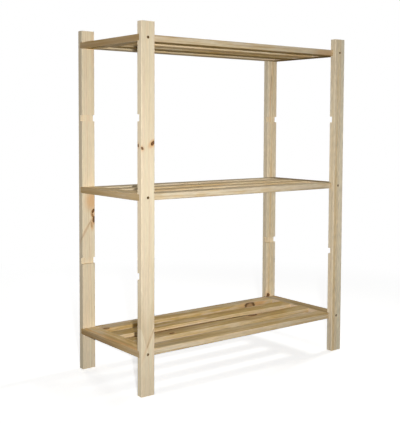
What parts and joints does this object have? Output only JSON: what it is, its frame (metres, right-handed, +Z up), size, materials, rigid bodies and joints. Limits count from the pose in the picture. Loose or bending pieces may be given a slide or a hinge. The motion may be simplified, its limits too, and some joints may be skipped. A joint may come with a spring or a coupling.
{
  "type": "shelving unit",
  "caption": "Open free-standing pine shelving unit: notched corner posts carry slatted shelves whose end rails sit in the notches and are held by screws, with spare notches between.",
  "frame": {"origin": "middle of the footprint, on the floor under the posts", "axes": "+Z up along the posts, X along the shelves, -Y towards the front"},
  "size_m": [0.7, 0.3, 0.9],
  "materials": {
    "pine": "planed, untreated, knotty",
    "screw_steel": "yellow passivated zinc"
  },
  "bodies": {
    "root": {"front_left_post": "pine", "front_right_post": "pine", "back_left_post": "pine", "back_right_post": "pine", "bottom_left_end_rail": "pine", "bottom_right_end_rail": "pine", "middle_left_end_rail": "pine", "middle_right_end_rail": "pine", "top_left_end_rail": "pine", "top_right_end_rail": "pine", "bottom_slat_1": "pine", "bottom_slat_2": "pine", "bottom_slat_3": "pine", "bottom_slat_4": "pine", "middle_slat_1": "pine", "middle_slat_2": "pine", "middle_slat_3": "pine", "middle_slat_4": "pine", "top_slat_1": "pine", "top_slat_2": "pine", "top_slat_3": "pine", "top_slat_4": "pine", "bottom_shelf_screws": "screw_steel", "middle_shelf_screws": "screw_steel", "top_shelf_screws": "screw_steel"}
  },
  "joints": []
}
